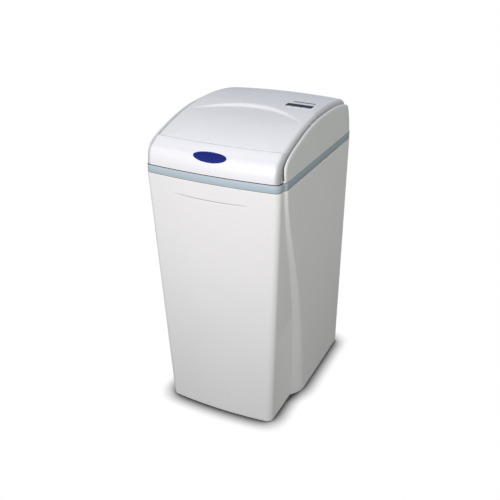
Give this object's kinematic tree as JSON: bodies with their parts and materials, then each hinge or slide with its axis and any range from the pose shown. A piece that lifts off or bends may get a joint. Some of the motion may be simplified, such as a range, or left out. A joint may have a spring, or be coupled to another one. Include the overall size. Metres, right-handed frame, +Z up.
{
  "type": "water softener",
  "caption": "White cabinet water softener with a grey rim band, hinged salt lid, display, control valve, resin tank and brine well inside",
  "frame": {"origin": "middle of the base, on the floor", "axes": "+Z up, -Y towards the front, +X to the viewer's right"},
  "size_m": [0.379, 0.531, 0.8249],
  "materials": {
    "cabinet_white": "satin moulded",
    "band_grey": "satin moulded",
    "cover_white": "satin moulded",
    "rear_grey": "fine satin",
    "badge_blue": "gloss printed",
    "panel_film": "matt film",
    "lcd_glass": "clear gloss",
    "lcd_module": "matt",
    "key_blue": "matt",
    "board_green": "solder mask",
    "steel": "zinc plated",
    "black_plastic": "moulded",
    "tank_blue": "wound, satin",
    "resin_amber": "fine beads",
    "white_plastic": "moulded",
    "valve_grey": "glass filled",
    "gear_ivory": "acetal",
    "rubber_black": "matt",
    "copper_brass": "drawn",
    "float_red": "moulded"
  },
  "bodies": {
    "housing": {"cabinet": "cabinet_white", "rim_band": "band_grey", "top_cover": "cover_white", "rear_cover": "rear_grey", "lid_hinge_pins": "steel", "display_panel": "panel_film", "display_window": "lcd_glass", "display_module": "lcd_module", "control_board": "board_green", "board_screws": "steel", "power_inlet": "black_plastic", "resin_tank": "tank_blue", "tank_foot": "black_plastic", "resin_bed": "resin_amber", "riser_tube": "white_plastic", "bottom_basket": "white_plastic", "top_basket": "white_plastic", "valve_body": "valve_grey", "tank_clamp": "black_plastic", "clamp_screws": "steel", "valve_cover": "valve_grey", "cover_screws": "steel", "rotor_seal": "rubber_black", "motor_plate": "black_plastic", "drive_motor": "steel", "motor_screws": "steel", "position_sensor": "black_plastic", "nozzle_cap": "black_plastic", "nozzle_venturi": "white_plastic", "nozzle_gasket": "rubber_black", "turbine_support": "white_plastic", "bypass_body": "black_plastic", "port_clips": "white_plastic", "inlet_adaptor": "copper_brass", "outlet_adaptor": "copper_brass", "drain_elbow": "black_plastic", "brine_well": "white_plastic", "well_cap": "white_plastic", "brine_pipe": "white_plastic", "float_stop": "white_plastic", "brine_line": "white_plastic", "overflow_grommet": "rubber_black", "overflow_elbow": "black_plastic"},
    "lid": {"salt_lid": "cover_white", "badge": "badge_blue"},
    "select": {"select_key": "key_blue"},
    "up": {"up_key": "key_blue"},
    "down": {"down_key": "key_blue"},
    "recharge": {"recharge_key": "key_blue"},
    "rotor_set": {"rotor": "white_plastic", "drive_gear": "gear_ivory"},
    "pinion": {"motor_pinion": "gear_ivory"},
    "turbine": {"flow_turbine": "white_plastic"},
    "stem": {"bypass_stem": "float_red"},
    "float": {"brine_float": "float_red"}
  },
  "joints": [
    {"name": "lid_hinge", "type": "hinge", "parent": "housing", "child": "lid", "pos_m": [0, -0.03, 0.805], "axis": [-1, 0, 0], "range_deg": [0, 75]},
    {"name": "select_press", "type": "slide", "parent": "housing", "child": "select", "axis": [0, 0, -1], "range_m": [0, 0.0008], "stiffness_N_per_m": 400},
    {"name": "up_press", "type": "slide", "parent": "housing", "child": "up", "axis": [0, 0, -1], "range_m": [0, 0.0008], "stiffness_N_per_m": 400},
    {"name": "down_press", "type": "slide", "parent": "housing", "child": "down", "axis": [0, 0, -1], "range_m": [0, 0.0008], "stiffness_N_per_m": 400},
    {"name": "recharge_press", "type": "slide", "parent": "housing", "child": "recharge", "axis": [0, 0, -1], "range_m": [0, 0.0008], "stiffness_N_per_m": 400},
    {"name": "rotor_turn", "type": "hinge", "parent": "housing", "child": "rotor_set", "pos_m": [0, 0.1315, 0.774], "axis": [0, 0, 1], "continuous": true},
    {"name": "pinion_turn", "type": "hinge", "parent": "housing", "child": "pinion", "pos_m": [-0.03723, 0.16873, 0.774], "axis": [0, 0, 1], "continuous": true},
    {"name": "turbine_spin", "type": "hinge", "parent": "housing", "child": "turbine", "pos_m": [0.04, 0.19, 0.743], "axis": [0, 1, 0], "continuous": true},
    {"name": "bypass_slide", "type": "slide", "parent": "housing", "child": "stem", "axis": [1, 0, 0], "range_m": [0, 0.022]},
    {"name": "float_rise", "type": "slide", "parent": "housing", "child": "float", "axis": [0, 0, 1], "range_m": [0, 0.03]}
  ],
  "couplings": [
    {"joint": "pinion_turn", "follows": "rotor_turn", "ratio": -4}
  ]
}
